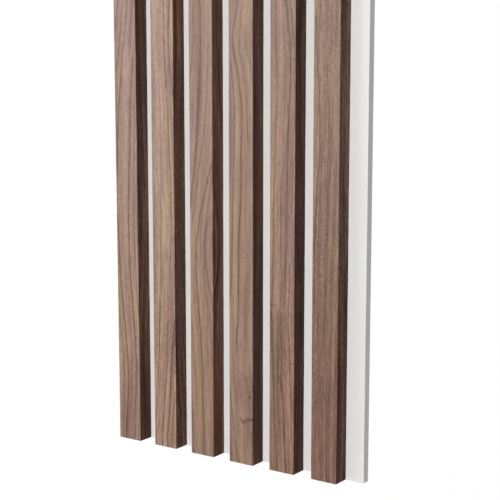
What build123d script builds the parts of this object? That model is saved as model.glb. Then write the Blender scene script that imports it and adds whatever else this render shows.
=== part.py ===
from build123d import *
import os

# Slat wall panel: six upright slats glued and stapled to a white backing board.
# All sizes are in millimetres.
# +X runs across the panel, to the right as the slats are seen. +Y runs into the wall. +Z is up.
# The origin is the centre of the back face, the face that goes against the wall.
# The slats stand on the front of the board, towards -Y, and end flush with it at top and bottom.
# The first slat is flush with the board's left edge. The board runs on by one gap past the last
# slat, so that the next panel butts against it and the slats keep their spacing.

# Driving dimensions
panel_length = 2400.0      # height of the panel on the wall

slat_count = 6
slat_width = 29.5          # face width of one slat
slat_depth = 18.5          # how far a slat stands off the board
slat_gap = 20.5            # clear distance between two slats, and the margin on the right
slat_arris = 0.6           # radius of a slat's two long front edges

board_thickness = 9.0
board_arris = 0.3          # radius of the board's bare long edges

staple_crown = 5.8         # outside width over the two legs
staple_wire_width = 1.27   # width of the flat wire, the way the crown shows it
staple_wire_height = 1.05  # thickness of the flat wire, in the plane of the U
staple_bend = 1.3          # outside radius where the crown turns into a leg, sharp inside
staple_point = 2.0         # length of the chisel point at the end of a leg
staple_cover = 5.5         # wood left between a leg's point and the face of the slat
staple_spacing = 400.0     # from one staple to the next along a slat
staple_end_distance = 150.0  # least distance from the last staple to the end of a slat

# Worked out from the driving dimensions
slat_pitch = slat_width + slat_gap
panel_width = slat_count * slat_pitch
left_edge = -panel_width / 2
board_front = -board_thickness
slat_front = board_front - slat_depth
staple_length = board_thickness + slat_depth - staple_cover
staple_rows = int((panel_length - 2 * staple_end_distance) / staple_spacing) + 1


def slat_left(number):
    """X of the left side of a slat, counted from 1 at the left edge."""
    return left_edge + (number - 1) * slat_pitch


def staple_places(number):
    """Where the staples of one slat enter the back face: on its centre line, evenly spaced."""
    middle = slat_left(number) + slat_width / 2
    first = -(staple_rows - 1) * staple_spacing / 2
    return [Location((middle, 0, first + row * staple_spacing)) for row in range(staple_rows)]


def upright(profile):
    """A profile drawn in X and Y, carried over the whole length of the panel."""
    return extrude(Pos(0, 0, -panel_length / 2) * profile, panel_length)


def slat_profile(number):
    """Section of one slat: square at the back, with its two front corners eased."""
    centre_x = slat_left(number) + slat_width / 2
    centre_y = board_front - slat_depth / 2
    section = Pos(centre_x, centre_y) * Rectangle(slat_width, slat_depth)
    front_corners = section.vertices().group_by(Axis.Y)[0]
    return fillet(front_corners, slat_arris)


def board_profile():
    """Section of the backing board. Its left front corner stays square under the first slat."""
    section = Pos(0, board_front / 2) * Rectangle(panel_width, board_thickness)
    front_corners = section.vertices().group_by(Axis.Y)[0]
    back_corners = section.vertices().group_by(Axis.Y)[-1]
    bare_corners = back_corners + front_corners.sort_by(Axis.X)[-1:]
    return fillet(bare_corners, board_arris)


def staple_profile():
    """The U of a staple, with its crown along X at Y = 0 and its legs towards -Y."""
    outside = Pos(0, -staple_length / 2) * Rectangle(staple_crown, staple_length)
    outside = fillet(outside.vertices().group_by(Axis.Y)[-1], staple_bend)
    throat_width = staple_crown - 2 * staple_wire_height
    throat_length = staple_length - staple_wire_height
    throat = Pos(0, -staple_length + throat_length / 2) * Rectangle(throat_width, throat_length)
    legs = outside - throat
    for side in (-1, 1):
        inner_x = side * throat_width / 2
        outer_x = side * staple_crown / 2
        bevel = Polygon(
            (inner_x, -staple_length),
            (outer_x, -staple_length),
            (inner_x, -staple_length + staple_point),
            align=None,
        )
        legs -= bevel
    return legs


def staple():
    """One driven staple, its crown flush with the back face of the board."""
    return extrude(Pos(0, 0, -staple_wire_width / 2) * staple_profile(), staple_wire_width)


def staples_of_slat(number):
    """All the staples that hold one slat."""
    one = staple()
    return [place * one for place in staple_places(number)]


def slat(number, staples):
    """One slat, with the holes that its staples' legs have made in its back."""
    return upright(slat_profile(number)) - staples


def backing_board(staples):
    """The board, with the holes of the legs and the grooves that the crowns have pressed in."""
    return upright(board_profile()) - staples


def main():
    os.makedirs("parts", exist_ok=True)
    all_staples = []
    for number in range(1, slat_count + 1):
        staples = staples_of_slat(number)
        export_step(slat(number, staples), f"parts/slat_{number}.step")
        all_staples += staples
    export_step(backing_board(all_staples), "parts/backing_board.step")
    export_step(Compound(children=all_staples), "parts/staples.step")


main()
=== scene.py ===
# %% [markdown]
# A slat wall panel: six upright walnut slats on a white board, photographed close, against white.
# The solids come ready made, at their real size, so this lesson is about the surfaces, the light
# and the camera. Every pattern is worked out from the place of a point in the wood or the lacquer,
# in millimetres, as if each slat had been sawn from a tree that stands behind it. A picture stuck
# on each face would be quicker, but its grain would stop at every corner.

import math

import bpy
import numpy as np
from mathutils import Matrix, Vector


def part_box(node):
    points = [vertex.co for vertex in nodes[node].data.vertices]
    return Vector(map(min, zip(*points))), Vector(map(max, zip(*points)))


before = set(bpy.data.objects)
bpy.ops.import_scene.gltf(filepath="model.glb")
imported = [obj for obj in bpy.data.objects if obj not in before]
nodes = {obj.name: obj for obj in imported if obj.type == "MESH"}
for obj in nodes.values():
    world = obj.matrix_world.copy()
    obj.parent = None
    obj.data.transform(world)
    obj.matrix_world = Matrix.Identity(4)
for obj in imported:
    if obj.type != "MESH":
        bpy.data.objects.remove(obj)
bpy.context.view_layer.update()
print("loaded", sorted(nodes))

# %% [markdown]
# The sizes that the patterns and the camera need are read from the solids. The slats' names end in
# their number, counted from the left. The photograph shows the bottom of the panel only, so heights
# are counted from the bottom edge, and the foot of slat 1, at its front left corner, is the point
# that the camera's place is measured from.

# %% Read the sizes
MM = 0.001
slat_names = sorted(name for name in nodes if name.startswith("slat_"))
slat_boxes = {name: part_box(name) for name in slat_names}
board_low, board_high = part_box("backing_board")
first_low = slat_boxes[slat_names[0]][0]
panel_bottom = board_low.z
panel_length = board_high.z - board_low.z
slat_front = first_low.y
slat_foot = Vector((first_low.x, slat_front, panel_bottom))
print(f"{len(slat_names)} slats, {panel_length / MM:.0f} mm long, foot of the first at {slat_foot[:]}")

# %% [markdown]
# The camera stands to the right of the panel at the height of a hand, and looks slightly down. Its
# place, turn and lens were found by fitting the slats' edges and feet to the photograph. The
# photograph's upright edges are parallel, which a level camera reaches by sliding its frame down. A
# slide would move the panel off centre in every other view. A longer lens from farther away comes
# nearly as close without one: each upright edge stays within four pixels of the photograph's.

# %% Set the camera
CAMERA_FROM_FOOT = Vector((890.3, -1019.6, 410.7)) * MM
CAMERA_TURN = math.radians(35.01)      # to the left of straight at the wall
CAMERA_DIP = math.radians(8.5)         # below level
CAMERA_LENS = 90.18

camera_data = bpy.data.cameras.new("camera")
camera_data.sensor_width = 36
camera_data.lens = CAMERA_LENS
camera_data.clip_start = 0.01
camera_data.clip_end = 100
camera = bpy.data.objects.new("camera", camera_data)
camera.location = slat_foot + CAMERA_FROM_FOOT
camera.rotation_euler = (math.pi / 2 - CAMERA_DIP, 0, CAMERA_TURN)
bpy.context.scene.collection.objects.link(camera)
bpy.context.scene.camera = camera
print("camera at", [round(value, 3) for value in camera.location])

# %% [markdown]
# A shader is a graph, and a graph is easier to read as sums. This small class adds nodes to a tree
# and hands back the socket that carries the result, so that a pattern can be written line by line
# like arithmetic. A value given to it is either a plain number or another node's socket.

# %% A pen for writing node trees
class Pen:
    """Adds nodes to one node tree and returns their output sockets."""

    def __init__(self, tree):
        self.tree = tree

    def add(self, kind, inputs=None, **settings):
        made = self.tree.nodes.new(kind)
        for name, value in settings.items():
            setattr(made, name, value)
        for key, value in (inputs or {}).items():
            self.plug(value, made.inputs[key])
        return made

    def plug(self, value, socket):
        """Links a socket to the one that value is, or sets it to a plain value."""
        if isinstance(value, bpy.types.NodeSocket):
            self.tree.links.new(value, socket)
        else:
            socket.default_value = value

    def sum(self, operation, *values):
        """One arithmetic step on numbers, such as ADD, MULTIPLY or POWER."""
        return self.add("ShaderNodeMath", dict(enumerate(values)), operation=operation).outputs[0]

    def vector(self, operation, *values):
        """One arithmetic step on vectors."""
        made = self.add("ShaderNodeVectorMath", dict(enumerate(values)), operation=operation)
        return made.outputs["Vector"]

    def join(self, x, y, z):
        return self.add("ShaderNodeCombineXYZ", {0: x, 1: y, 2: z}).outputs[0]

    def split(self, vector):
        return self.add("ShaderNodeSeparateXYZ", {0: vector}).outputs

    def scale(self, vector, size):
        made = self.add("ShaderNodeVectorMath", {0: vector, "Scale": size}, operation="SCALE")
        return made.outputs["Vector"]

    def mix(self, share, first, second):
        """A number between first and second."""
        return self.add("ShaderNodeMix", {0: share, 2: first, 3: second}).outputs[0]

    def ease(self, value, low, high, start=0.0, end=1.0):
        """Goes smoothly from start to end while value goes from low to high."""
        made = self.add(
            "ShaderNodeMapRange",
            {"Value": value, "From Min": low, "From Max": high, "To Min": start, "To Max": end},
            interpolation_type="SMOOTHSTEP",
        )
        return made.outputs["Result"]

    def fall(self, value, low, high):
        """Goes smoothly from 1 to 0 while value goes from low to high."""
        return self.ease(value, low, high, 1.0, 0.0)

    def noise(self, vector, detail=2.0, roughness=0.5, output="Fac"):
        """Soft noise, with swings one unit long. Nearly all its values lie between 0.3 and 0.7."""
        made = self.add(
            "ShaderNodeTexNoise",
            {"Vector": vector, "Scale": 1.0, "Detail": detail, "Roughness": roughness},
        )
        return made.outputs[output]

    def wander(self, vector, lengths, width, detail=2.0, roughness=0.5):
        """A vector that drifts about zero by up to half of width, in swings as long as lengths."""
        drift = self.noise(self.vector("DIVIDE", vector, lengths), detail, roughness, "Color")
        return self.scale(self.vector("SUBTRACT", drift, (0.5, 0.5, 0.5)), width)

    def blend(self, share, first, second, way="MIX"):
        """Mixes two colours, or multiplies the first by the second."""
        made = self.add("ShaderNodeMix", data_type="RGBA", blend_type=way)
        colour_inputs = [socket for socket in made.inputs if socket.type == "RGBA"]
        for socket, value in zip([made.inputs[0], *colour_inputs], [share, first, second]):
            self.plug(value, socket)
        return next(socket for socket in made.outputs if socket.type == "RGBA")

    def ramp(self, value, stops):
        """A colour that changes with value. stops is a list of (place, colour)."""
        made = self.add("ShaderNodeValToRGB", {0: value})
        marks = made.color_ramp.elements
        while len(marks) < len(stops):
            marks.new(1.0)
        for mark, (place, colour) in zip(marks, stops):
            mark.position = place
            mark.color = (*colour, 1.0)
        return made.outputs["Color"]


print("a pen can", ", ".join(word for word in vars(Pen) if not word.startswith("_")))

# %% [markdown]
# An effect that more than one material uses is made once, as a node group with named inputs and
# outputs. Each material then holds a single node for it, with its own values. A material here starts
# from an empty tree and ends in one surface with a relief, so these two steps are written once too.

# %% Groups and materials
FLOAT, VECTOR, COLOUR = "NodeSocketFloat", "NodeSocketVector", "NodeSocketColor"


def new_group(name, inputs, outputs):
    """A shader node group. Returns its pen, its inputs by name and its output node."""
    group = bpy.data.node_groups.new(name, "ShaderNodeTree")
    for label, kind in inputs.items():
        group.interface.new_socket(label, in_out="INPUT", socket_type=kind)
    for label, kind in outputs.items():
        group.interface.new_socket(label, in_out="OUTPUT", socket_type=kind)
    pen = Pen(group)
    return pen, pen.add("NodeGroupInput").outputs, pen.add("NodeGroupOutput").inputs


def use_group(pen, name, inputs):
    """Places a finished group in another tree and returns its outputs."""
    return pen.add("ShaderNodeGroup", inputs, node_tree=bpy.data.node_groups[name]).outputs


def new_material(name):
    """A material with an empty tree. Returns the material and its pen."""
    material = bpy.data.materials.new(name)
    material.use_nodes = True
    material.node_tree.nodes.clear()
    return material, Pen(material.node_tree)


def add_surface(pen, relief, strength, depth, inputs):
    """Ends a material in one surface. Relief is a height from 0 to 1, worth depth in mm."""
    bump = pen.add("ShaderNodeBump", {"Height": relief, "Strength": strength, "Distance": depth * MM})
    surface = pen.add("ShaderNodeBsdfPrincipled", {**inputs, "Normal": bump.outputs[0]})
    pen.add("ShaderNodeOutputMaterial", {"Surface": surface.outputs[0]})


print("a group's sockets are", FLOAT, VECTOR, "or", COLOUR)

# %% [markdown]
# A tree grows a ring a year round its heart, the thin core of the trunk. Where a saw cuts through
# the rings, each leaves a line. Far from the heart the lines run straight down the slat. Where the
# heart comes nearer and goes away again, the lines bulge and close into arches. So the figure of a
# slat is decided by the path of the heart behind it, and this group measures the distance to that
# path. No tree is round, so slow and fine noise bend the distance a little, and a knot pushes it out.
# Divided by the width of a ring, the distance is the age of the wood in years. Some years are fat and
# some are lean, so another noise stretches the age here and there.

# %% Growth rings
SLOW_SWINGS = (40, 40, 160)            # mm across, into and up the wood
FINE_SWINGS = (5, 5, 14)
FINE_WANDER = 2.4
FAT_AND_LEAN = 1.2                     # years by which the age is stretched
FAT_SWING = 0.45                       # share of a swing from fat to lean that one year takes
FAT_PLACE = (3.7, 9.1)                 # where in the noise it is read

pen, given, result = new_group(
    "growth_rings",
    {
        "Position": VECTOR,
        "Heart Across": FLOAT,
        "Heart Depth": FLOAT,
        "Ring Width": FLOAT,
        "Wander": FLOAT,
        "Push": FLOAT,
    },
    {"Wood Place": VECTOR, "Age": FLOAT, "Line": FLOAT},
)
slow_bend = pen.wander(given["Position"], SLOW_SWINGS, given["Wander"])
fine_bend = pen.wander(given["Position"], FINE_SWINGS, FINE_WANDER, detail=3.0, roughness=0.6)
bend = pen.vector("MULTIPLY", pen.vector("ADD", slow_bend, fine_bend), (1.0, 1.0, 0.0))
bent = pen.split(pen.vector("ADD", given["Position"], bend))
across = pen.sum("SUBTRACT", bent[0], given["Heart Across"])
depth = pen.sum("SUBTRACT", bent[1], given["Heart Depth"])
squares = pen.sum("ADD", pen.sum("MULTIPLY", across, across), pen.sum("MULTIPLY", depth, depth))
distance = pen.sum("ADD", pen.sum("SQRT", squares), given["Push"])
even_age = pen.sum("DIVIDE", distance, given["Ring Width"])
fat_place = pen.join(pen.sum("MULTIPLY", even_age, FAT_SWING), *FAT_PLACE)
fatness = pen.noise(fat_place, detail=1.0)
age = pen.sum("ADD", even_age, pen.sum("MULTIPLY", fatness, FAT_AND_LEAN))
print("rings bend slowly over", SLOW_SWINGS, "mm and finely over", FINE_SWINGS, "mm")

# %% [markdown]
# Within a year the wood starts pale and ends in a dark line, so the line is read from the fraction of
# the age: it comes slowly and stops suddenly. Some years end in a dark line and some in a faint one,
# which White Noise decides by the whole number of the year. Along its ring each line grows stronger
# and fainter.

# %% The dark line at the end of a year
AUTUMN = (0.5, 0.86)                   # share of the year when the line comes
WINTER = (0.92, 1.0)                   # and when it stops
FAINTEST_YEAR = 0.35
PATCH_STRENGTHS = (0.6, 1.1)           # of a line where it is faintest and strongest
RING_PATCHES = (0.8, 5.1, 30.0)        # patches a year, place in the noise, mm up a patch

season = pen.sum("FRACT", age)
autumn = pen.sum("MULTIPLY", pen.ease(season, *AUTUMN), pen.fall(season, *WINTER))
year = pen.add("ShaderNodeTexWhiteNoise", {"W": pen.sum("FLOOR", age)}, noise_dimensions="1D")
year_strength = pen.ease(year.outputs["Value"], 0.1, 1.0, FAINTEST_YEAR, 1.0)
height = pen.split(given["Position"])[2]
patches_a_year, patch_place, patch_height = RING_PATCHES
ring_place = pen.sum("MULTIPLY", age, patches_a_year)
along_ring = pen.join(ring_place, patch_place, pen.sum("DIVIDE", height, patch_height))
patchy = pen.ease(pen.noise(along_ring, detail=3.0, roughness=0.6), 0.3, 0.62, *PATCH_STRENGTHS)
line = pen.sum("MULTIPLY", autumn, pen.sum("MULTIPLY", year_strength, patchy))
pen.plug(pen.join(across, depth, height), result["Wood Place"])
pen.plug(age, result["Age"])
pen.plug(line, result["Line"])
print("group", pen.tree.name, "with", len(pen.tree.nodes), "nodes")

# %% [markdown]
# A branch that once grew through the trunk leaves a knot. The rings flow round it, and the wood in
# and near it is darker. This group gives a soft spot that is 1 in the middle and falls to 0 outside
# its size. Edge says how suddenly: 2 fades like mist, 8 stops almost at a line. The material uses the
# spot twice: to push the rings away and to tint the wood.

# %% Soft spot for knots and stains
pen, given, result = new_group(
    "soft_spot",
    {"Position": VECTOR, "Centre": VECTOR, "Size": VECTOR, "Edge": FLOAT},
    {"Mask": FLOAT},
)
offset = pen.vector("DIVIDE", pen.vector("SUBTRACT", given["Position"], given["Centre"]), given["Size"])
offset = pen.add("ShaderNodeVectorMath", {0: offset}, operation="LENGTH").outputs["Value"]
fade = pen.sum("EXPONENT", pen.sum("MULTIPLY", pen.sum("POWER", offset, given["Edge"]), -1.0))
pen.plug(fade, result["Mask"])
print("group", pen.tree.name, "with", len(pen.tree.nodes), "nodes")

# %% [markdown]
# The rings alone give a slat its flow, but a real slat has a few lines that stand out, and the eye
# knows it by them. These are drawn one by one. The group is told where the line runs at this height,
# and how far the point lies beside it decides how dark the point is. A drawn line has a dark core
# and a soft edge, grows stronger and fainter along its way, and fades at both ends and into the wood.

# %% Drawn line
CORE_SHARE = 0.75                      # the rest of the darkness lies in the soft edge
HALO_SPREAD = 0.15
PATCH_LENGTHS = (3, 3, 16)             # mm over which a line grows stronger and fainter

pen, given, result = new_group(
    "drawn_line",
    {
        "Position": VECTOR,
        "Across": FLOAT,
        "Low End": FLOAT,
        "High End": FLOAT,
        "End Fade": FLOAT,
        "Depth": FLOAT,
        "Width": FLOAT,
        "Strength": FLOAT,
    },
    {"Mask": FLOAT},
)
place = pen.split(given["Position"])
aside = pen.sum("DIVIDE", pen.sum("SUBTRACT", place[0], given["Across"]), given["Width"])
aside = pen.sum("MULTIPLY", pen.sum("MULTIPLY", aside, aside), -1.0)
core = pen.sum("MULTIPLY", pen.sum("EXPONENT", aside), CORE_SHARE)
halo = pen.sum("EXPONENT", pen.sum("MULTIPLY", aside, HALO_SPREAD))
profile = pen.sum("ADD", core, pen.sum("MULTIPLY", halo, 1.0 - CORE_SHARE))
before_end = pen.sum("MULTIPLY", given["End Fade"], -1.0)
above_low = pen.sum("SUBTRACT", place[2], given["Low End"])
below_high = pen.sum("SUBTRACT", given["High End"], place[2])
low_fade = pen.ease(above_low, before_end, given["End Fade"])
high_fade = pen.ease(below_high, before_end, given["End Fade"])
near_face = pen.fall(place[1], 0.0, given["Depth"])
patchy = pen.noise(pen.vector("DIVIDE", given["Position"], PATCH_LENGTHS), detail=3.0, roughness=0.6)
strength = pen.sum("MULTIPLY", given["Strength"], pen.ease(patchy, 0.32, 0.6, *PATCH_STRENGTHS))
strength = pen.sum("MULTIPLY", strength, pen.sum("MULTIPLY", low_fade, high_fade))
strength = pen.sum("MULTIPLY", strength, near_face)
pen.plug(pen.sum("MULTIPLY", profile, strength), result["Mask"])
print("group", pen.tree.name, "with", len(pen.tree.nodes), "nodes")

# %% [markdown]
# Walnut is full of open pores: short dark furrows along the grain, a third of a millimetre wide and
# some millimetres long. Cells of a Voronoi pattern, stretched along the slat, put one furrow in
# each cell at most, which noise alone would run together. They are longer than wide by the same
# share everywhere, so on a sawn end they show as dots, as real pores do.

# %% Open pores
FURROW_EDGE = (0.2, 0.5)               # cells from a furrow's middle: its dark core ends, it is gone

pen, given, result = new_group(
    "open_pores",
    {"Wood Place": VECTOR, "Width": FLOAT, "Length": FLOAT, "Share": FLOAT},
    {"Mask": FLOAT},
)
place = pen.split(given["Wood Place"])
stretched = pen.join(
    pen.sum("DIVIDE", place[0], given["Width"]),
    pen.sum("DIVIDE", place[1], given["Width"]),
    pen.sum("DIVIDE", place[2], given["Length"]),
)
cells = pen.add("ShaderNodeTexVoronoi", {"Vector": stretched, "Scale": 1.0})
present = pen.sum("LESS_THAN", pen.split(cells.outputs["Color"])[0], given["Share"])
furrow = pen.fall(cells.outputs["Distance"], *FURROW_EDGE)
pen.plug(pen.sum("MULTIPLY", present, furrow), result["Mask"])
print("group", pen.tree.name, "with", len(pen.tree.nodes), "nodes")

# %% [markdown]
# Between the lines the wood changes colour in long streaks: grey brown, pinkish and olive. They
# follow the rings, so the streaks are read from the age of the wood and drawn out along the slat. One
# group turns the streaks, the lines and the pores into the colour of a slat. Each slat asks for its
# own tone, redness and strength of streak, fibre and pore, because no two came from the same board.
# Its tone also carries painted light and shade: darker at the slat's foot, lighter higher up.

# %% Walnut colour
STREAKS_A_YEAR = 0.55
STREAK_DEPTH, STREAK_HEIGHT = 60.0, 260.0    # mm into and up the wood
HUE_STRETCH = (0.8, 1.0, 1.6)          # the hue changes less across and more along than the tone
HUE_PLACE = (31.0, 7.0, 3.0)           # and is read in another part of the noise
RED_STEP = 0.1
TONES = [
    (0.30, (0.175, 0.100, 0.066)),
    (0.43, (0.285, 0.174, 0.118)),
    (0.55, (0.370, 0.236, 0.160)),
    (0.70, (0.485, 0.322, 0.222)),
]
HUES = [(0.36, (1.02, 1.01, 0.89)), (0.50, (1.0, 1.0, 1.0)), (0.64, (1.00, 0.94, 1.01))]
LINE_COLOUR = (0.105, 0.045, 0.025, 1.0)
PORE_COLOUR = (0.09, 0.040, 0.023, 1.0)
PORE_BETWEEN_LINES = 0.7               # strength of a pore where no line adds to it

pen, given, result = new_group(
    "walnut_colour",
    {
        "Wood Place": VECTOR,
        "Age": FLOAT,
        "Line": FLOAT,
        "Pores": FLOAT,
        "Fibre Strength": FLOAT,
        "Pore Strength": FLOAT,
        "Red": FLOAT,
        "Streak Strength": FLOAT,
        "Tone": FLOAT,
    },
    {"Color": COLOUR, "Height": FLOAT, "Roughness": FLOAT},
)
place = pen.split(given["Wood Place"])
along = pen.join(
    pen.sum("MULTIPLY", given["Age"], STREAKS_A_YEAR),
    pen.sum("DIVIDE", place[1], STREAK_DEPTH),
    pen.sum("DIVIDE", place[2], STREAK_HEIGHT),
)
streak = pen.mix(given["Streak Strength"], 0.5, pen.noise(along, detail=4.0, roughness=0.62))
hue_along = pen.vector("ADD", pen.vector("MULTIPLY", along, HUE_STRETCH), HUE_PLACE)
hue = pen.sum("ADD", pen.noise(hue_along), pen.sum("MULTIPLY", given["Red"], RED_STEP))
colour = pen.blend(1.0, pen.ramp(streak, TONES), pen.ramp(hue, HUES), "MULTIPLY")
colour = pen.blend(given["Line"], colour, LINE_COLOUR)
dark_pore = pen.sum("MULTIPLY", given["Pores"], given["Pore Strength"])
dark_pore = pen.sum("MULTIPLY", dark_pore, pen.sum("ADD", given["Line"], PORE_BETWEEN_LINES))
colour = pen.blend(dark_pore, colour, PORE_COLOUR)
print("walnut goes from", TONES[0][1], "to", TONES[-1][1])

# %% [markdown]
# Fine fibres lie over the streaks, and short flecks where the fibres rise to the surface. Both are
# noise drawn out along the slat, the fibres far and the flecks a little. Real flecks come in patches,
# so one more noise says where they are strong. The fibres also give the surface its fine relief and
# make it duller here and there.

# %% Fibres and flecks
FIBRE_LENGTHS = (2.0, 2.0, 28)         # mm across, into and up the wood
FLECK_LENGTHS = (1.4, 1.4, 3.2)
FLECK_PATCHES = (14, 14, 60)
FIBRE_CONTRAST = 2.6
FLECK_CONTRASTS = (0.9, 2.6)           # outside and inside a patch
FIBRE_RELIEF, LINE_RELIEF = 0.3, 0.25  # against the depth of a pore
DULLNESS = (0.46, 0.58)                # roughness of the smoothest and the dullest wood

fibre = pen.noise(pen.vector("DIVIDE", given["Wood Place"], FIBRE_LENGTHS), detail=5.0, roughness=0.72)
fleck = pen.noise(pen.vector("DIVIDE", given["Wood Place"], FLECK_LENGTHS), detail=2.0, roughness=0.6)
fleck_patch = pen.noise(pen.vector("DIVIDE", given["Wood Place"], FLECK_PATCHES), detail=1.0)
fleck_contrast = pen.ease(fleck_patch, 0.4, 0.62, *FLECK_CONTRASTS)
fibre_grain = pen.sum("MULTIPLY", pen.sum("SUBTRACT", fibre, 0.5), FIBRE_CONTRAST)
fleck_grain = pen.sum("MULTIPLY", pen.sum("SUBTRACT", fleck, 0.5), fleck_contrast)
grain = pen.sum("MULTIPLY", pen.sum("ADD", fibre_grain, fleck_grain), given["Fibre Strength"])
shade = pen.sum("MULTIPLY", pen.sum("ADD", grain, 1.0), given["Tone"])
colour = pen.blend(1.0, colour, pen.join(shade, shade, shade), "MULTIPLY")
relief = pen.sum("SUBTRACT", pen.sum("MULTIPLY", fibre, FIBRE_RELIEF), given["Pores"])
relief = pen.sum("SUBTRACT", relief, pen.sum("MULTIPLY", given["Line"], LINE_RELIEF))
pen.plug(colour, result["Color"])
pen.plug(relief, result["Height"])
pen.plug(pen.ease(fibre, 0.2, 0.8, *DULLNESS), result["Roughness"])
print("group", pen.tree.name, "with", len(pen.tree.nodes), "nodes")

# %% [markdown]
# This group gives the slats' narrow sides a much darker tone than their fronts. Sawn ends drink the oil
# and turn darker too.
# Which way a point faces is read from the piece's own normal, so the tone turns with the rounded
# edge and stays where it is from any viewpoint.

# %% Tone by the way a face points
TURN = (0.5, 0.95)                     # how far a face has to turn aside, from first to fully
SIDE_GAMMA, END_GAMMA = 1.7, 1.3       # above 1 the dark parts darken more than the light ones

pen, given, result = new_group(
    "tone_by_facing",
    {"Color": COLOUR, "Side Tint": COLOUR, "End Tint": COLOUR},
    {"Color": COLOUR, "Sawn": FLOAT},
)
facing = pen.split(pen.add("ShaderNodeTexCoord").outputs["Normal"])
sideways = pen.ease(pen.sum("ABSOLUTE", facing[0]), *TURN)
endways = pen.ease(pen.sum("ABSOLUTE", facing[2]), *TURN)
side = pen.add("ShaderNodeGamma", {"Color": given["Color"], "Gamma": SIDE_GAMMA}).outputs[0]
side = pen.blend(1.0, side, given["Side Tint"], "MULTIPLY")
end = pen.add("ShaderNodeGamma", {"Color": given["Color"], "Gamma": END_GAMMA}).outputs[0]
end = pen.blend(1.0, end, given["End Tint"], "MULTIPLY")
colour = pen.blend(endways, pen.blend(sideways, given["Color"], side), end)
pen.plug(colour, result["Color"])
pen.plug(pen.sum("MAXIMUM", sideways, endways), result["Sawn"])
print("group", pen.tree.name, "with", len(pen.tree.nodes), "nodes")

# %% [markdown]
# Now the slats. The heart's path is a pair of curves, drawn as a few points: how far it lies
# to the right of the slat's middle, and how far behind the slat's face, at each height above the
# foot. Two more curves set how strongly the rings show and how light the wood is. The lightness
# curve holds the wood's own changes of tone and also painted light and shade: each slat is painted
# darker at its foot and lighter higher up. The bottom 480 mm are what the photograph shows, so they
# have the most points. Above, the curves go on gently, and the rings show more strongly, because no
# line is drawn there. All lengths are in mm.
#
# A spot is a knot or a stain. It says where it lies (across and up), how far it spreads (across, into
# the wood and up), its tint, how sudden its edge is and how far it pushes the rings. A tint multiplies
# the colour of the wood: red, green, blue. A band is a spot that reaches deep into the slat, so the
# slat's side shows it too. Most bands are long and narrow and a little lighter or darker than the
# wood beside them, because walnut changes its tone in streaks.

# %% Tints, spots and bands
GOLD = (1.18, 1.16, 1.04)
PALE = (1.12, 1.12, 1.08)
PLUM = (0.74, 0.67, 0.72)
RUST = (0.90, 0.79, 0.77)
MINERAL = (0.60, 0.63, 0.66)
DARK = (0.42, 0.34, 0.32)
ROSE = (0.94, 0.87, 0.90)
SLATE = (0.80, 0.78, 0.83)
BRUISE = (0.76, 0.74, 0.79)
OLIVE = (0.93, 0.97, 0.97)
COOL = (0.97, 0.95, 1.04)
CLEAR = (1.06, 1.06, 1.06)
ASH = (0.87, 0.91, 0.93)
WARM = (1.01, 0.955, 0.95)
LIGHTER = (1.25, 1.28, 1.28)
DARKER = (0.79, 0.77, 0.78)
NONE = (1.0, 1.0, 1.0)
BAND_DEPTH = 14.0                      # mm


def spot(at, size, tint=NONE, edge=2, push=0):
    """One knot or stain of a slat."""
    return {"at": at, "size": size, "tint": tint, "edge": edge, "push": push}


def band(at, across, up, tint=NONE, edge=2, push=0):
    """A spot that reaches deep into the slat."""
    return spot(at, (across, BAND_DEPTH, up), tint, edge, push)


figures = {}


def count_marks(name):
    """Prints how much was drawn for one slat."""
    figure = figures[name]
    drawn = figure["drawn"] + figure.get("lying", [])
    print(name, "has", len(figure["spots"]), "spots and bands and", len(drawn), "drawn lines")


print("a PLUM spot darkens the wood to", PLUM, "of its red, green and blue")

# %% [markdown]
# In each slat, across and depth are the heart's path, ring is the width of a ring, and wander is how
# far slow noise may bend it. Streak, fibre and pore are strengths. Hue tints the whole slat, and side
# tints its narrow sides. A drawn line is its strength, its width, and points of (height, distance to
# the right of the middle).
#
# The first slat's lines rise from the foot, lean to the left, come back above the middle of the
# picture and run away to the right near the top. Its left edge is golden at the foot.

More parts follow.
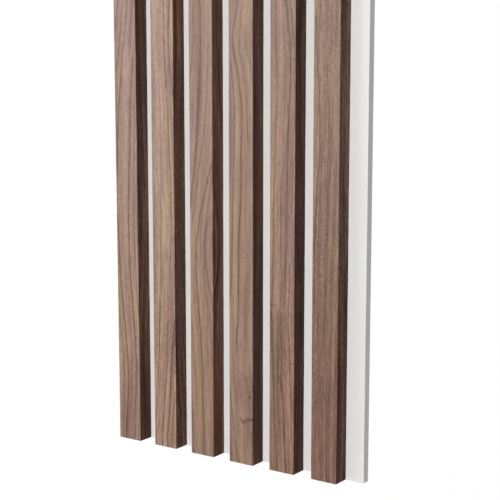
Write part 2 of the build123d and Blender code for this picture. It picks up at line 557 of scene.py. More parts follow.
# %% Slat 1
figures["slat_1"] = {
    "across": [
        (0, -27), (35, -26.6), (70, -25.2), (105, -24.8), (130, -26.5), (176, -30.7), (208, -32.6),
        (272, -32), (355, -29), (420, -26), (480, -22), (700, -28), (1300, -36), (2400, -26),
    ],
    "depth": [(0, 55), (600, 55), (1200, 60), (2400, 50)],
    "lines": [(0, 0.35), (470, 0.35), (540, 0.85), (2400, 0.85)],
    "shade": [
        (0, 0.94), (60, 1.0), (150, 1.05), (230, 1.02), (300, 0.95), (360, 0.95), (440, 1.02),
        (2400, 1.0),
    ],
    "ring": 2.5,
    "wander": 2.4,
    "streak": 1.0,
    "fibre": 0.4,
    "pore": 0.35,
    "red": 0.2,
    "hue": (1.0, 1.0, 1.02),
    "side": (0.79, 0.9, 1.21),
    "spots": [
        band((-15, 50), 3, 70, GOLD),
        band((-6, 15), 4, 25, PLUM),
        band((-13, 320), 2, 50, PLUM),
        band((-4, 300), 7, 60, COOL),
        band((-9, 460), 8, 60, COOL),
        band((-8, 440), 6, 50, LIGHTER),
        band((-13, 370), 4, 50, LIGHTER),
        band((2.5, 60), 4, 38, LIGHTER),
        band((13, 60), 4, 65, DARKER),
        band((13.5, 370), 3, 85, DARKER),
    ],
    "drawn": [
        (0.94, 0.8, [
            (0, 6.8), (40, 8.3), (80, 10.4), (110, 9.6), (140, 7.3), (170, 5), (200, 3),
            (230, 2.3), (260, 2.3), (285, 3.2), (310, 4.4), (340, 5.7), (370, 6.7), (390, 8.2),
            (410, 10.4), (425, 12.1),
        ]),
        (1.0, 0.8, [
            (0, -5.2), (20, -4.3), (40, -2.7), (70, -1.4), (100, -2.5), (130, -5), (160, -8.3),
            (190, -10.8), (215, -12.1), (250, -12.9),
        ]),
        (0.5, 0.8, [
            (0, -9.3), (30, -8.5), (60, -6.7), (80, -7.5), (110, -9.8), (130, -11.7), (150, -13.3),
        ]),
        (0.81, 0.9, [
            (290, -12.9), (320, -12.1), (350, -10.4), (370, -8.8), (400, -5), (430, -1.7),
            (450, 1.3), (490, 6.4),
        ]),
        (0.7, 0.8, [(400, -12), (420, -9.2), (440, -6.3), (460, -3.8), (490, -0.4)]),
        (0.95, 0.9, [(440, -13.3), (460, -10.8), (490, -6.6)]),
        (0.65, 0.8, [(425, 5), (440, 6.7), (460, 9.2), (490, 12.2)]),
        (0.5, 0.6, [
            (40, 3.5), (70, 4.2), (115, 3), (150, 1.3), (170, -1.5), (200, -4.2), (240, -5.4),
            (290, -4.2),
        ]),
        (0.38, 0.6, [(195, 10.4), (240, 10), (290, 10.8)]),
    ],
}
count_marks("slat_1")

# %% [markdown]
# The second slat is the palest. At its foot five strong lines lean to the right. Above them it is
# nearly plain and full of short flecks, until two dark lines come in from the right.

# %% Slat 2
figures["slat_2"] = {
    "across": [
        (0, -35), (30, -32), (64, -28.5), (100, -25), (140, -21), (180, -19.5), (250, -19.5),
        (300, -21), (350, -23.5), (400, -26.5), (440, -28.5), (480, -28), (900, -32), (2400, -22),
    ],
    "depth": [(0, 52), (150, 55), (600, 56), (1200, 50), (2400, 56)],
    "lines": [(0, 0.6), (130, 0.5), (170, 0.3), (470, 0.4), (540, 0.8), (2400, 0.75)],
    "shade": [
        (0, 1.1), (60, 1.08), (200, 1.09), (300, 1.13), (400, 1.18), (440, 1.32), (600, 1.2),
        (2400, 1.1),
    ],
    "ring": 2.3,
    "wander": 3.0,
    "streak": 1.0,
    "fibre": 0.46,
    "pore": 0.55,
    "red": 0.0,
    "hue": (1.0, 1.0, 1.0),
    "side": (0.69, 0.79, 1.03),
    "spots": [
        band((13, 430), 5, 60, PALE),
        spot((9, 115), (7, 5, 35), PLUM),
        band((-12, 320), 3.5, 110, ASH),
        band((-3, 380), 9, 120, COOL),
        band((-13, 215), 4, 75, DARKER),
        band((-12, 45), 4, 35, LIGHTER),
        band((-5, 335), 5.5, 55, LIGHTER),
        band((7.5, 330), 3, 60, DARKER),
        band((7.5, 165), 3, 20, DARKER),
        band((12.5, 395), 3, 45, DARKER),
        band((2.4, 240), 3, 35, LIGHTER),
        band((12.5, 10), 3, 20, DARKER),
        band((-7.5, 175), 3, 40, LIGHTER),
    ],
    "drawn": [
        (1.0, 0.9, [
            (0, 2.9), (20, 3.5), (40, 5.7), (65, 7.9), (90, 9.2), (110, 11), (130, 12.9),
            (142, 14),
        ]),
        (0.9, 0.8, [(0, -4.2), (30, -2.7), (60, 0), (90, 2.5), (120, 3.8), (145, 5)]),
        (0.9, 0.8, [
            (0, -12.7), (40, -11.7), (70, -9.8), (90, -8.2), (110, -7.1), (130, -6.5), (145, -5.8),
            (160, -5),
        ]),
        (0.5, 0.8, [
            (160, -5), (180, -4), (220, -3.8), (260, -3.3), (300, -2.5), (340, -2.8), (370, -3.3),
            (400, -4.3), (420, -5.2), (460, -5.2),
        ]),
        (0.95, 0.9, [(380, 5.8), (400, 4.6), (420, 3.2), (440, 2.5), (465, 2.7), (490, 4)]),
        (0.6, 0.8, [
            (180, 7.9), (210, 9.2), (240, 10.2), (270, 10.4), (300, 9.6), (320, 8.5), (340, 7.7),
            (360, 7.1), (380, 5.8),
        ]),
        (1.0, 0.7, [(375, 13.8), (395, 12.1), (410, 10.4), (432, 9.3), (460, 9.8), (490, 11)]),
        (0.8, 0.8, [(0, 8.3), (20, 9.6), (40, 11.3), (60, 13.3)]),
    ],
}
count_marks("slat_2")

# %% [markdown]
# The third slat's rings flow round a knot that lies beyond its right edge, 220 mm up. Inside the
# bend the wood is plain and greyish. Below it the right edge is reddish.

# %% Slat 3
figures["slat_3"] = {
    "across": [
        (0, -28.8), (32, -29.5), (96, -32), (150, -34.5), (200, -36.5), (240, -37), (300, -36),
        (336, -34), (384, -31), (416, -29.2), (480, -28.6), (900, -34), (2400, -28),
    ],
    "depth": [(0, 50), (600, 52), (1200, 46), (2400, 54)],
    "lines": [
        (0, 0.3), (130, 0.3), (175, 0.1), (260, 0.1), (320, 0.3), (470, 0.3), (540, 0.75),
        (2400, 0.75),
    ],
    "shade": [
        (0, 0.88), (60, 0.96), (130, 1.04), (220, 1.09), (300, 1.01), (480, 0.94), (2400, 0.97),
    ],
    "ring": 2.7,
    "wander": 2.4,
    "streak": 1.0,
    "fibre": 0.36,
    "pore": 0.3,
    "red": 0.2,
    "hue": (1.0, 0.99, 0.99),
    "side": (0.98, 1.16, 1.6),
    "spots": [
        band((19, 222), 18, 44, push=12),
        spot((17, 222), (14.5, 5, 38), BRUISE, edge=6),
        band((-2, 385), 3, 35, PLUM),
        band((-3.5, 65), 2.5, 75, GOLD),
        band((13.5, 60), 4.5, 72, RUST, edge=4),
        spot((13, 254), (4, 4, 9), DARKER, edge=3),
        band((-13, 55), 4.5, 60, DARKER),
        band((-8, 12), 4, 22, DARKER),
        band((7.3, 90), 3, 40, DARKER),
        band((-5, 112), 4.5, 38, LIGHTER),
        band((12.5, 22), 3.5, 32, DARKER),
        band((-11, 365), 5, 28, DARKER),
    ],
    "drawn": [
        (0.88, 0.8, [
            (0, 2.1), (30, 1.3), (60, 0.8), (90, 0.8), (120, -0.8), (150, -3.3), (180, -5.7),
            (205, -7.1), (225, -6.3), (240, -4.3), (255, -1.7), (265, 1.3), (280, 5), (295, 9.2),
            (310, 13.3),
        ]),
        (0.56, 0.7, [
            (240, -12.5), (260, -9.6), (280, -6.3), (300, -2.9), (320, 0.4), (340, 3.8),
            (360, 5.8), (375, 7.5), (400, 8.1), (420, 9.6), (440, 9.2),
        ]),
        (0.81, 0.9, [
            (260, -13.5), (280, -12.1), (295, -10), (310, -7.9), (330, -5.8), (350, -4.6),
            (370, -3.6), (390, -1.5), (410, -0.2), (440, 0.4), (460, 0.2), (490, -1.9),
        ]),
        (0.56, 0.8, [(400, -12), (420, -10), (440, -8.8), (460, -9), (490, -10)]),
        (0.62, 0.8, [(40, -7), (70, -7.5), (95, -9.6), (110, -10.8), (130, -12.3), (160, -13.2)]),
        (0.62, 0.8, [(0, -11.3), (30, -12.3), (50, -13.2)]),
        (0.5, 0.6, [
            (190, 4.2), (205, 3.3), (220, 3.8), (235, 5), (245, 7.5), (254, 10.8), (258, 13.3),
        ]),
        (0.3, 0.9, [(90, 7.8), (130, 7.5), (155, 7.3), (175, 6.7)]),
    ],
}
count_marks("slat_3")

# %% [markdown]
# The fourth slat was cut on the other side of the heart, so its lines bulge to the left. Near the
# foot it has the scar of a small branch. A plain rounded field ends 90 mm up. A redder band with
# dark flecks follows below it, and then one dark line that lies almost level across the slat.

# %% Slat 4
figures["slat_4"] = {
    "across": [
        (0, 36), (32, 34), (64, 32), (106, 28), (128, 26.5), (160, 27), (200, 29), (240, 30.2),
        (288, 30), (352, 31.2), (387, 29.4), (413, 25.2), (432, 21), (445, 21), (462, 25),
        (480, 27.6), (700, 24), (1300, 34), (2400, 26),
    ],
    "depth": [(0, 45), (600, 45), (1000, 40), (1600, 48), (2400, 42)],
    "lines": [(0, 0.02), (110, 0.02), (180, 0.15), (470, 0.25), (540, 0.8), (2400, 0.8)],
    "shade": [
        (0, 0.87), (60, 0.84), (120, 0.9), (200, 0.92), (300, 0.98), (480, 0.95), (2400, 0.98),
    ],
    "ring": 2.4,
    "wander": 1.2,
    "streak": 0.8,
    "fibre": 0.28,
    "pore": 0.2,
    "red": -0.1,
    "hue": (1.0, 0.98, 0.98),
    "side": (0.91, 1.03, 1.6),
    "spots": [
        band((14, 70), 12, 28, push=2),
        spot((4, 74), (12, 6, 19), ROSE, edge=4),
        spot((6.5, 124.5), (11.2, 5, 34), CLEAR, edge=8),
        spot((-3.5, 82), (3.2, 4, 8), ROSE, edge=3),
        spot((5, 53), (6, 4, 3.5), PALE, edge=3),
        spot((-0.4, 72), (1.1, 4, 1.2), PLUM),
        spot((-5.3, 71.5), (1.8, 4, 0.8), ROSE),
        spot((10.5, 72), (1.5, 4, 1.6), DARK),
        spot((11, 83), (3.5, 4, 0.8), ROSE),
        spot((12, 61), (3, 4, 0.9), PLUM),
        spot((5, 64.5), (4, 4, 0.9), ROSE),
        spot((4.9, 120), (0.9, 4, 4.5), PLUM),
        band((-12.5, 290), 2.2, 110, ROSE),
        band((12.5, 280), 3, 150, OLIVE),
        band((-7, 215), 2, 60, GOLD),
        band((-2.5, 345), 3, 35, LIGHTER),
        band((12.5, 235), 4.5, 170, DARKER),
        band((5, 165), 5, 65, DARKER),
        band((-7.5, 180), 3, 30, LIGHTER),
        band((-12, 350), 3.5, 50, DARKER),
        band((-12, 140), 3, 35, LIGHTER),
        band((-12, 40), 4, 25, LIGHTER),
        band((5, 420), 4, 25, DARKER),
        band((10, 6), 5, 15, LIGHTER),
    ],
    "drawn": [
        (0.94, 0.8, [
            (116, -4.7), (125, -5), (140, -4.6), (150, -3.3), (170, -2.9), (200, -2.7),
            (240, -2.5), (265, -0.4), (280, 0.4), (300, 0.7), (320, 0.4), (350, 1.3), (370, 0.8),
            (385, -1.3), (400, -3.3), (410, -5.4), (425, -8.8), (435, -9.8), (445, -8.8),
            (460, -5.4), (490, -0.9),
        ]),
        (0.69, 0.8, [
            (170, -13.8), (185, -12.5), (205, -11.3), (225, -10.8), (250, -10.4), (270, -9.8),
            (290, -9.2), (310, -8.8), (340, -7.9), (360, -7.5), (380, -8.8), (400, -10.8),
            (415, -12.5),
        ]),
        (0.56, 0.8, [
            (330, 9.2), (350, 7.9), (375, 6.7), (390, 5), (405, 2.5), (415, 0), (425, -1.3),
            (440, -0.8), (465, 1.2),
        ]),
        (0.38, 0.6, [(240, 5.8), (255, 5.7), (300, 6.3), (320, 5.8)]),
        (0.44, 0.8, [(130, 5), (140, 5.3), (160, 4.2), (190, 5)]),
        (0.56, 0.9, [
            (0, -1.7), (10, -5), (20, -7.2), (30, -9.3), (40, -9.6), (52, -11), (65, -12.6),
            (80, -13.6),
        ]),
        (0.56, 0.8, [(0, -12.5), (10, -13), (18, -13.8)]),
    ],
    "lying": [
        (0.35, 0.7, [
            (-4.8, 110), (-4, 104), (-3, 100), (-0.5, 96), (1.6, 94), (4.5, 91.5), (7.5, 90.7),
            (11, 93), (14, 97),
        ]),
        (0.95, 1.0, [
            (-2.4, 54), (-1.6, 50.5), (0, 47), (2.2, 45.2), (5.5, 46.4), (8.5, 48), (11, 48.6),
            (16, 48.4),
        ]),
        (0.6, 1.1, [(0, 46), (2.2, 44.6), (5.5, 45.6), (8.5, 47.4)]),
    ],
}
count_marks("slat_4")

# %% [markdown]
# The fifth slat changes suddenly, 168 mm up. Below, it is darker and redder, with a grey mineral
# streak. A short level crack at the left edge marks the place.

# %% Slat 5
figures["slat_5"] = {
    "across": [
        (0, -29), (50, -31.5), (100, -34), (144, -35.4), (176, -36), (208, -34.2), (256, -35.4),
        (301, -34.2), (326, -32.4), (352, -30.6), (390, -30.6), (422, -29.4), (454, -31.2),
        (480, -34.2), (900, -29), (2400, -37),
    ],
    "depth": [(0, 50), (600, 50), (2400, 54)],
    "lines": [(0, 0.65), (150, 0.6), (180, 0.3), (470, 0.3), (540, 0.8), (2400, 0.8)],
    "shade": [
        (0, 0.85), (60, 0.85), (160, 0.83), (174, 0.96), (230, 0.97), (300, 1.08), (440, 1.02),
        (2400, 1.0),
    ],
    "ring": 2.6,
    "wander": 2.4,
    "streak": 1.0,
    "fibre": 0.48,
    "pore": 0.4,
    "red": 0.4,
    "hue": (1.0, 0.97, 0.96),
    "side": (0.65, 0.8, 1.11),
    "spots": [
        band((0, 60), 200, 107, WARM, edge=12),
        band((-11, 171), 2.4, 1.1, DARK, push=3),
        spot((-4, 122), (2.4, 4, 42), MINERAL, edge=3),
        spot((-3.9, 112), (0.9, 4, 5), PLUM),
        spot((-0.9, 89), (1.4, 4, 13), PLUM, edge=4),
        band((8.5, 70), 2.8, 90, GOLD, edge=3),
        band((-1.5, 268), 1.5, 12, PLUM),
        band((11, 300), 5, 70, SLATE),
        band((-11.5, 400), 5, 75, LIGHTER),
        band((2.5, 410), 3, 60, DARKER),
        band((2.5, 235), 3, 40, LIGHTER),
        band((-2.5, 195), 2.5, 20, DARKER),
        band((-2.5, 45), 2.5, 55, DARKER),
        band((12.5, 215), 3.5, 50, DARKER),
        band((12.5, 440), 3, 20, DARKER),
        band((-13, 110), 3, 55, LIGHTER),
    ],
    "drawn": [
        (0.75, 0.7, [
            (165, -12.3), (180, -11.7), (200, -11.3), (230, -10.6), (255, -10.4), (280, -9.8),
            (310, -9.2), (330, -8.3), (345, -7.9), (370, -7.1), (400, -6.9), (420, -7.3),
            (450, -7.9), (490, -9.8),
        ]),
        (0.95, 0.9, [
            (0, -5.8), (20, -6), (40, -7), (50, -8.2), (60, -8.3), (80, -9.2), (110, -10.2),
            (130, -11.3), (165, -12.3),
        ]),
        (0.56, 0.7, [
            (170, -3.3), (205, -0.4), (220, -1.3), (240, -1.3), (265, -1.3), (285, -1.7),
            (300, -0.8), (315, 0.8), (340, 0.8), (360, 1.7), (380, 2.1), (400, 3.3), (415, 3.3),
            (430, 1.7), (455, 0.4), (490, -2.2),
        ]),
        (0.94, 0.8, [
            (170, 2.5), (190, 3.8), (205, 4), (220, 4.8), (240, 5.2), (255, 5), (280, 5.7),
            (300, 5.7), (320, 6.1), (340, 6.5), (365, 7.3), (378, 8.3), (400, 9.2), (420, 8.7),
            (435, 7.7), (448, 5.8), (460, 4.6), (490, 2),
        ]),
        (1.0, 0.9, [
            (0, 5.8), (20, 4.3), (40, 3.3), (60, 2.3), (80, 1.3), (95, -0.3), (110, 0.2), (120, 0),
            (140, -0.8), (165, -1.3),
        ]),
        (0.69, 0.7, [
            (60, 13.3), (80, 11.8), (100, 10.7), (120, 9.6), (140, 8.3), (155, 7.5), (170, 7.9),
            (185, 8.7), (215, 9.2),
        ]),
        (0.56, 0.7, [(425, 12.9), (440, 11.5), (455, 10), (490, 6)]),
        (0.65, 0.9, [(115, -11.6), (130, -12.4), (172, -13)]),
        (0.6, 0.8, [
            (30, -4), (45, -3.6), (60, -4.2), (75, -4.6), (100, -4.8), (130, -5.4), (165, -5.2),
        ]),
        (0.6, 0.7, [(118, -2.9), (172, -3)]),
        (0.45, 0.6, [(100, 3.4), (168, 3)]),
        (0.5, 0.8, [(0, -9.6), (20, -9.2), (48, -8.6)]),
        (0.4, 0.6, [(0, 9.4), (40, 9), (60, 8.4)]),
        (0.44, 0.7, [(265, 10.8), (290, 11.7), (320, 12.5)]),
        (0.62, 0.8, [(0, -11.3), (30, -12.3), (60, -13.5)]),
    ],
}
count_marks("slat_5")

# %% [markdown]
# The sixth slat was cut far from the heart, so its rings are narrow and straight. It is the
# darkest, and its foot is full of fine upright lines.

# %% Slat 6
figures["slat_6"] = {
    "across": [(0, -93), (200, -93), (300, -91), (400, -88), (480, -87), (1200, -92), (2400, -86)],
    "depth": [(0, 60), (2400, 64)],
    "lines": [(0, 0.6), (110, 0.55), (160, 0.4), (2400, 0.5)],
    "shade": [
        (0, 0.74), (60, 0.74), (150, 0.69), (220, 0.72), (330, 0.85), (400, 0.85), (440, 0.83),
        (2400, 0.84),
    ],
    "ring": 2.0,
    "wander": 2.4,
    "streak": 1.0,
    "fibre": 0.72,
    "pore": 0.5,
    "red": 0.1,
    "hue": (1.0, 0.945, 0.935),
    "side": (1.08, 1.45, 2.0),
    "spots": [
        band((0, 80), 200, 130, WARM, edge=4),
        band((0, 290), 3, 45, PLUM),
        band((-12.5, 210), 2.6, 100, RUST, edge=3),
        band((-13.5, 420), 1.2, 60, RUST),
        band((-2.5, 205), 3.2, 80, DARKER),
        band((-2.5, 355), 2.5, 30, LIGHTER),
        band((10, 275), 5, 60, DARKER),
        band((-8, 40), 3, 60, DARKER),
        band((3, 50), 4, 50, CLEAR),
        band((-13, 395), 4, 40, LIGHTER),
        band((7, 445), 7, 25, DARKER),
        band((2.5, 135), 2.5, 20, LIGHTER),
    ],
    "drawn": [
        (0.75, 0.8, [
            (225, -13.3), (240, -12.5), (260, -11.7), (280, -10.4), (300, -9.2), (318, -7.6),
            (340, -7.3), (360, -7.5), (385, -8.3), (400, -9.8), (430, -11.3), (455, -12.9),
        ]),
        (0.6, 0.9, [
            (145, -1), (160, -0.4), (175, 0.7), (205, 0.6), (225, 1.2), (255, 1.8), (270, 2.3),
            (288, 2.8), (300, 3.7), (312, 4.9), (325, 6), (345, 6.4), (380, 6.8),
        ]),
        (0.55, 0.7, [(342, 3.4), (360, 3.2), (375, 2), (398, 0.6), (418, 0)]),
        (0.5, 0.6, [(345, -1.8), (375, -1.8), (400, -3.3), (415, -4)]),
        (0.45, 0.6, [(435, -6), (470, -6.4)]),
        (0.5, 0.8, [(0, -3.4), (40, -2.9), (70, -3), (95, -3.2), (115, -1.9), (150, -0.8)]),
        (0.45, 0.7, [(0, 2.9), (50, 2.9), (105, 3)]),
        (0.45, 0.6, [(0, 6.6), (60, 6.2), (110, 6)]),
        (0.4, 0.6, [(20, 10.2), (60, 9.9), (100, 9.9)]),
        (0.45, 0.8, [(0, 12.5), (35, 12.8), (60, 13.2)]),
        (0.45, 0.7, [(0, -10.5), (60, -9.5), (110, -10.6), (145, -10)]),
        (0.4, 0.6, [(30, -6.3), (75, -5.3), (100, -5.4)]),
    ],
}
count_marks("slat_6")

# %% [markdown]
# A drawn curve becomes a Float Curve node, which joins the points smoothly. The node reads
# and gives numbers from 0 to 1, so a height is turned into a share first and the answer is stretched
# back. The curves for a whole slat are read against the square root of the height, which gives the
# foot the finest steps. The drawn lines use a curve each over the bottom 500 mm, or over the width of
# the face for lines that lie across it.

# %% Drawn curves
DRAWN_HEIGHT = 500.0
HALF_FACE = 15.0                       # a little more than half of a slat's face


def whole_place(height):
    """Where a height lies in a curve for the whole slat."""
    return math.sqrt(height * MM / panel_length)


def foot_place(height):
    """Where a height lies in the curve of an upright line."""
    return height / DRAWN_HEIGHT


def face_place(across):
    """Where a distance from the slat's middle lies in the curve of a lying line."""
    return (across + HALF_FACE) / (2 * HALF_FACE)


def drawn_curve(pen, share, points, low, high, place_of):
    """A value read at share, from listed points (distance in mm, value between low and high)."""
    made = pen.add("ShaderNodeFloatCurve", {"Value": share})
    curve = made.mapping.curves[0]
    while len(curve.points) < len(points):
        curve.points.new(0.5, 0.5)
    for point, (distance, value) in zip(curve.points, points):
        point.location = (place_of(distance), (value - low) / (high - low))
    made.mapping.update()
    return pen.sum("ADD", pen.sum("MULTIPLY", made.outputs["Value"], high - low), low)


for up in (50, 250):
    print(f"{up} mm up: {whole_place(up):.2f} of a slat's curves, {foot_place(up):.2f} of a line's")

# %% [markdown]
# This helper puts a slat's spots and bands into its material. Their pushes add up, and their tints
# are laid over each other like thin washes of paint.

# %% Spots of a slat
NO_TINT = (1.0, 1.0, 1.0, 1.0)


def add_spots(pen, position, figure):
    """How far the slat's spots push the rings here, and how they tint the wood."""
    push = 0.0
    tint = (*figure["hue"], 1.0)
    for one in figure["spots"]:
        across, up = one["at"]
        mask = use_group(
            pen,
            "soft_spot",
            {"Position": position, "Centre": (across, 0, up), "Size": one["size"], "Edge": one["edge"]},
        )["Mask"]
        push = pen.sum("ADD", push, pen.sum("MULTIPLY", mask, one["push"]))
        own_tint = pen.blend(mask, NO_TINT, (*one["tint"], 1.0))
        tint = pen.blend(1.0, tint, own_tint, "MULTIPLY")
    return push, tint


print(sum(len(figure["spots"]) for figure in figures.values()), "spots and bands in all")

# %% [markdown]
# These helpers put a slat's drawn lines into its material. A line that lies across the slat is the
# same group with the place turned on its side, so that across and up change roles. It stays close to
# the face, because a level line does not go on down the slat's side. A little noise in the place
# makes every drawn line tremble as real ones do.

# %% Drawn lines of a slat
TREMBLE_SWINGS = (6, 6, 12)            # mm
TREMBLE = 1.6
LYING_TREMBLE = 0.5                    # share of it that a lying line gets
UPRIGHT_FADE, UPRIGHT_DEPTH = 8.0, 5.0
LYING_FADE, LYING_DEPTH = 2.0, 3.0
BELOW_FOOT = -100.0                    # a line from height 0 starts here, so it meets the foot unfaded


def add_line(pen, line, position, middle, ends, fade, depth, width, strength):
    """The darker of line and one drawn line, whose middle is the value of a curve."""
    mask = use_group(
        pen,
        "drawn_line",
        {
            "Position": position,
            "Across": middle,
            "Low End": ends[0],
            "High End": ends[1],
            "End Fade": fade,
            "Depth": depth,
            "Width": width,
            "Strength": strength,
        },
    )["Mask"]
    return pen.sum("MAXIMUM", line, mask)


def add_drawn_lines(pen, line, position, figure):
    """Adds a slat's drawn lines to the lines of its rings."""
    tremble = pen.wander(position, TREMBLE_SWINGS, TREMBLE, detail=3.0, roughness=0.6)
    trembling = pen.vector("ADD", position, tremble)
    up_share = pen.sum("DIVIDE", pen.split(position)[2], DRAWN_HEIGHT)
    for strength, width, points in figure["drawn"]:
        middle = drawn_curve(pen, up_share, points, -HALF_FACE, HALF_FACE, foot_place)
        ends = (points[0][0] or BELOW_FOOT, points[-1][0])
        line = add_line(
            pen, line, trembling, middle, ends, UPRIGHT_FADE, UPRIGHT_DEPTH, width, strength
        )
    calmer = pen.split(pen.vector("ADD", position, pen.scale(tremble, LYING_TREMBLE)))
    turned = pen.join(calmer[2], calmer[1], calmer[0])
    across_share = pen.sum("ADD", pen.split(position)[0], HALF_FACE)
    across_share = pen.sum("DIVIDE", across_share, 2 * HALF_FACE)
    for strength, width, points in figure.get("lying", []):
        middle = drawn_curve(pen, across_share, points, 0.0, DRAWN_HEIGHT, face_place)
        ends = (points[0][0], points[-1][0])
        line = add_line(pen, line, turned, middle, ends, LYING_FADE, LYING_DEPTH, width, strength)
    return pen.sum("MINIMUM", line, 1.0)


print(sum(len(figure["drawn"]) for figure in figures.values()), "upright lines in all")

# %% [markdown]
# A slat's rings come from the curves of its heart, and its colour from its rings, lines and pores.
# Noise that starts at the same place looks the same, so each slat is cut from a part of the noise
# some metres above the slat before.

# %% Rings and colour of a slat
LOG_SPACING = 5000.0                   # mm from one slat's place in the noise to the next
HEART_REACH = 100.0                    # mm from the slat that a heart's path can be drawn
PORE_WIDTH, PORE_LENGTH = 0.8, 9.0     # mm, of a cell with at most one pore
PORE_SHARE = 0.5                       # of the cells that have one


def wood_rings(pen, position, number, figure, push, height_share):
    """The growth rings of one slat, from the curves of its heart."""
    across = drawn_curve(pen, height_share, figure["across"], -HEART_REACH, HEART_REACH, whole_place)
    depth = drawn_curve(pen, height_share, figure["depth"], 0.0, HEART_REACH, whole_place)
    return use_group(
        pen,
        "growth_rings",
        {
            "Position": pen.vector("ADD", position, (0.0, 0.0, LOG_SPACING * number)),
            "Heart Across": across,
            "Heart Depth": depth,
            "Ring Width": figure["ring"],
            "Wander": figure["wander"],
            "Push": push,
        },
    )


def wood_colour(pen, rings, line, tone, figure):
    """Colour, relief and roughness of one slat."""
    pores = use_group(
        pen,
        "open_pores",
        {
            "Wood Place": rings["Wood Place"],
            "Width": PORE_WIDTH,
            "Length": PORE_LENGTH,
            "Share": PORE_SHARE,
        },
    )
    return use_group(
        pen,
        "walnut_colour",
        {
            "Wood Place": rings["Wood Place"],
            "Age": rings["Age"],
            "Line": line,
            "Pores": pores["Mask"],
            "Fibre Strength": figure["fibre"],
            "Pore Strength": figure["pore"],
            "Red": figure["red"],
            "Streak Strength": figure["streak"],
            "Tone": tone,
        },
    )


core_width, core_length = 2 * FURROW_EDGE[0] * PORE_WIDTH, 2 * FURROW_EDGE[0] * PORE_LENGTH
print(f"the dark core of a pore is {core_width:.2f} mm wide and {core_length:.1f} mm long")

# %% [markdown]
# A slat's material starts by moving the origin to the slat's own foot, in the middle of its face,
# and counting in millimetres. The spots, rings, lines and colour follow. The finish is a matt oil: a
# fairly rough surface that still carries a soft sheen, with the pores as a fine relief. Each slat
# gets its own material, because its figure is its own. The mesh keeps one material slot.

# %% Walnut on the slats
SHADE_RANGE = (0.5, 1.5)
END_TINT = (0.9, 0.9, 0.95, 1.0)
SAWN_ROUGHNESS = 0.85
OIL_SHEEN = 0.15
RELIEF, RELIEF_STRENGTH = 0.15, 0.25   # in mm, and the share of it that shows


def walnut(name, figure, number):
    """The material of one slat."""
    material, pen = new_material("walnut_" + name)
    low, high = slat_boxes[name]
    foot = ((low.x + high.x) / 2, low.y, panel_bottom)
    whole = pen.add("ShaderNodeTexCoord").outputs["Object"]
    position = pen.vector("MULTIPLY", pen.vector("SUBTRACT", whole, foot), (1 / MM,) * 3)
    height_share = pen.sum("MULTIPLY", pen.split(position)[2], MM / panel_length)
    height_share = pen.sum("SQRT", pen.sum("MAXIMUM", height_share, 0.0))
    push, tint = add_spots(pen, position, figure)
    rings = wood_rings(pen, position, number, figure, push, height_share)
    ring_strength = drawn_curve(pen, height_share, figure["lines"], 0.0, 1.0, whole_place)
    line = pen.sum("MULTIPLY", rings["Line"], ring_strength)
    line = add_drawn_lines(pen, line, position, figure)
    # The tone is partly the wood's own and partly painted light and shade: darker at the foot, lighter
    # higher up.
    tone = drawn_curve(pen, height_share, figure["shade"], *SHADE_RANGE, whole_place)
    finish = wood_colour(pen, rings, line, tone, figure)
    cut = use_group(
        pen,
        "tone_by_facing",
        {
            "Color": pen.blend(1.0, finish["Color"], tint, "MULTIPLY"),
            "Side Tint": (*figure["side"], 1.0),
            "End Tint": END_TINT,
        },
    )
    roughness = pen.mix(cut["Sawn"], finish["Roughness"], SAWN_ROUGHNESS)
    add_surface(
        pen,
        finish["Height"],
        RELIEF_STRENGTH,
        RELIEF,
        {"Base Color": cut["Color"], "Roughness": roughness, "Specular IOR Level": OIL_SHEEN},
    )
    return material


def dress(node_name, material):
    """Gives a solid one material."""
    mesh = nodes[node_name].data
    mesh.materials.clear()
    mesh.materials.append(material)
    print(node_name, "in", material.name)


for number, name in enumerate(slat_names, 1):
    dress(name, walnut(name, figures[name], number))

# %% [markdown]
# The board is smooth fibreboard with a matt white lacquer. Sprayed lacquer is never quite even: it
# has a faint cloudiness a hand wide, and a ripple of a few millimetres that softens reflections.

# %% White lacquer
CLOUDS_A_METRE, RIPPLES_A_METRE = 12.0, 350.0
LACQUER_COLOURS = [(0.3, (0.80, 0.795, 0.79)), (0.7, (0.83, 0.825, 0.815))]
LACQUER_ROUGHNESS = (0.5, 0.58)
LACQUER_SHEEN = 0.3
RIPPLE_DEPTH, RIPPLE_STRENGTH = 0.05, 0.2    # in mm, and the share of it that shows


def white_lacquer():
    """The material of the board."""
    material, pen = new_material("white_lacquer")
    whole = pen.add("ShaderNodeTexCoord").outputs["Object"]
    cloud = pen.noise(pen.vector("MULTIPLY", whole, (CLOUDS_A_METRE,) * 3))
    ripple = pen.noise(pen.vector("MULTIPLY", whole, (RIPPLES_A_METRE,) * 3))
    roughness = pen.ease(ripple, 0.3, 0.7, *LACQUER_ROUGHNESS)
    colour = pen.ramp(cloud, LACQUER_COLOURS)
    add_surface(
        pen,
        ripple,
        RIPPLE_STRENGTH,
        RIPPLE_DEPTH,
        {"Base Color": colour, "Roughness": roughness, "Specular IOR Level": LACQUER_SHEEN},
    )
    return material


dress("backing_board", white_lacquer())

# %% [markdown]
# The staples are galvanised wire, drawn through a die, so their shine is broken into fine lines
# along the wire and dulled here and there by zinc bloom.

# %% Galvanised wire
DIE_LINES_A_METRE = (400.0, 400.0, 9000.0)   # the wire runs across and into the wood, never up
BLOOMS_A_METRE = 700.0
ZINC_COLOURS = [(0.35, (0.50, 0.50, 0.49)), (0.65, (0.66, 0.66, 0.65))]
ZINC_ROUGHNESS = (0.28, 0.5)
DIE_LINE_DEPTH, DIE_LINE_STRENGTH = 0.02, 0.3    # in mm, and the share of it that shows


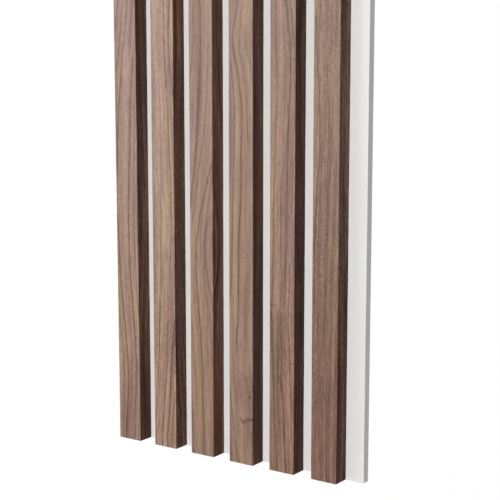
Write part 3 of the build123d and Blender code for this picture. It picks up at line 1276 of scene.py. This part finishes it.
def galvanised_wire():
    """The material of the staples."""
    material, pen = new_material("galvanised_wire")
    whole = pen.add("ShaderNodeTexCoord").outputs["Object"]
    die_lines = pen.noise(pen.vector("MULTIPLY", whole, DIE_LINES_A_METRE))
    bloom = pen.noise(pen.vector("MULTIPLY", whole, (BLOOMS_A_METRE,) * 3), detail=3.0, roughness=0.6)
    roughness = pen.ease(bloom, 0.3, 0.7, *ZINC_ROUGHNESS)
    colour = pen.ramp(bloom, ZINC_COLOURS)
    add_surface(
        pen,
        die_lines,
        DIE_LINE_STRENGTH,
        DIE_LINE_DEPTH,
        {"Base Color": colour, "Metallic": 1.0, "Roughness": roughness},
    )
    return material


dress("staples", galvanised_wire())

# %% [markdown]
# The photograph has plain white all round, and no floor in sight. A panel like this hangs on a wall,
# so the floor lies well below its foot. It is a wide flat surface worked out on a grid. To the
# camera and to reflections it glows white, with just enough real paint to keep a faint shadow.

# %% Floor
def grid_mesh(name, across, along, surface):
    """A mesh over a grid of two parameters: surface(u, v) gives the points for u across, v along."""
    u, v = np.meshgrid(np.linspace(0, 1, across), np.linspace(0, 1, along), indexing="ij")
    points = surface(u, v).reshape(-1, 3)
    index = np.arange(across * along).reshape(across, along)
    corners = [index[:-1, :-1], index[1:, :-1], index[1:, 1:], index[:-1, 1:]]
    faces = np.stack([corner.ravel() for corner in corners], axis=1)
    mesh = bpy.data.meshes.new(name)
    mesh.from_pydata(points.tolist(), [], faces.tolist())
    return mesh


FLOOR_WIDTH = 30.0
FLOOR_DROP = 0.5
FLOOR_GRID = 9


def floor_points(u, v):
    """x and y run over a square centred under the panel; z is constant."""
    x = (u - 0.5) * FLOOR_WIDTH
    y = (v - 0.5) * FLOOR_WIDTH
    z = np.full_like(x, panel_bottom - FLOOR_DROP)
    return np.stack([x, y, z], axis=-1)


floor = bpy.data.objects.new("floor", grid_mesh("floor", FLOOR_GRID, FLOOR_GRID, floor_points))
bpy.context.scene.collection.objects.link(floor)
print("floor", FLOOR_WIDTH, "m wide,", FLOOR_DROP, "m below the panel")

# %% [markdown]
# What the floor looks like depends on who asks. A ray from the camera, or one that was mirrored,
# finds the glow. A ray that gathers light for the panel finds plain grey paint, so the floor doesn't
# light the panel from below. The Light Path node tells the two apart.

# %% Floor paint
FLOOR_GREY = (0.5, 0.5, 0.5, 1.0)
WHITE = (1.0, 1.0, 1.0, 1.0)
FLOOR_GLOW = 1.065
GLOW_SHARE = 0.92                      # the rest is paint, which a shadow can darken


def seen_or_mirrored(pen):
    """1 for rays from the camera, mirrored or not, and 0 for those that gather light."""
    path = pen.add("ShaderNodeLightPath").outputs
    seen = pen.sum("MAXIMUM", path["Is Camera Ray"], path["Is Glossy Ray"])
    return pen.sum("MAXIMUM", seen, path["Is Transmission Ray"])


floor_material, pen = new_material("pale_floor")
seen = seen_or_mirrored(pen)
paint = pen.add("ShaderNodeBsdfDiffuse", {"Color": FLOOR_GREY}).outputs[0]
glow = pen.add("ShaderNodeEmission", {"Color": WHITE, "Strength": FLOOR_GLOW}).outputs[0]
shown = pen.add("ShaderNodeMixShader", {0: GLOW_SHARE, 1: paint, 2: glow}).outputs[0]
either = pen.add("ShaderNodeMixShader", {0: seen, 1: paint, 2: shown}).outputs[0]
pen.add("ShaderNodeOutputMaterial", {"Surface": either})
floor.data.materials.append(floor_material)
print("floor in", floor_material.name)

# %% [markdown]
# The light is that of a white studio. A broad sun-like key stands to the front, a little to the
# right, so it reaches the board between the slats. The world adds an even fill. A second soft lamp
# behind keeps the back of the panel readable, and touches nothing that the photograph shows. The
# reflector to the left lights nothing directly. It is only mirrored in the oiled wood, where it lays
# the soft pale veil that grows towards the top of the slats.

# %% Light
def sun(name, azimuth, elevation, strength, softness):
    """A far lamp. Azimuth 0 is in front of the panel and 90 to its right. Angles are in degrees."""
    data = bpy.data.lights.new(name, "SUN")
    data.energy = strength
    data.angle = math.radians(softness)
    lamp = bpy.data.objects.new(name, data)
    turn, rise = math.radians(azimuth), math.radians(elevation)
    towards_lamp = Vector((
        math.sin(turn) * math.cos(rise),
        -math.cos(turn) * math.cos(rise),
        math.sin(rise),
    ))
    lamp.rotation_euler = towards_lamp.to_track_quat("Z", "Y").to_euler()
    bpy.context.scene.collection.objects.link(lamp)
    print(name, "lamp at azimuth", azimuth, "and elevation", elevation)
    return lamp


sun("key", azimuth=15, elevation=30, strength=2.65, softness=16)
sun("rear", azimuth=215, elevation=20, strength=1.6, softness=30)
reflector = sun("reflector", azimuth=-40, elevation=22, strength=11.0, softness=40)
reflector.visible_diffuse = False

# %% [markdown]
# The white round the panel is the world itself. As with the floor, the camera and reflections see it
# at full strength, and as a source of light it is dim, or it would wash out the shadows between the
# slats.

# %% White all round
SEEN_STRENGTH = 1.0
FILL_STRENGTH = 0.1

world = bpy.data.worlds.new("studio")
world.use_nodes = True
world.node_tree.nodes.clear()
pen = Pen(world.node_tree)
brighter = pen.sum("MULTIPLY", seen_or_mirrored(pen), SEEN_STRENGTH - FILL_STRENGTH)
strength = pen.sum("ADD", brighter, FILL_STRENGTH)
backdrop = pen.add("ShaderNodeBackground", {"Color": WHITE, "Strength": strength})
pen.add("ShaderNodeOutputWorld", {"Surface": backdrop.outputs[0]})
bpy.context.scene.world = world
bpy.context.scene.view_settings.view_transform = "Standard"
print("the world shows", SEEN_STRENGTH, "and lights with", FILL_STRENGTH)
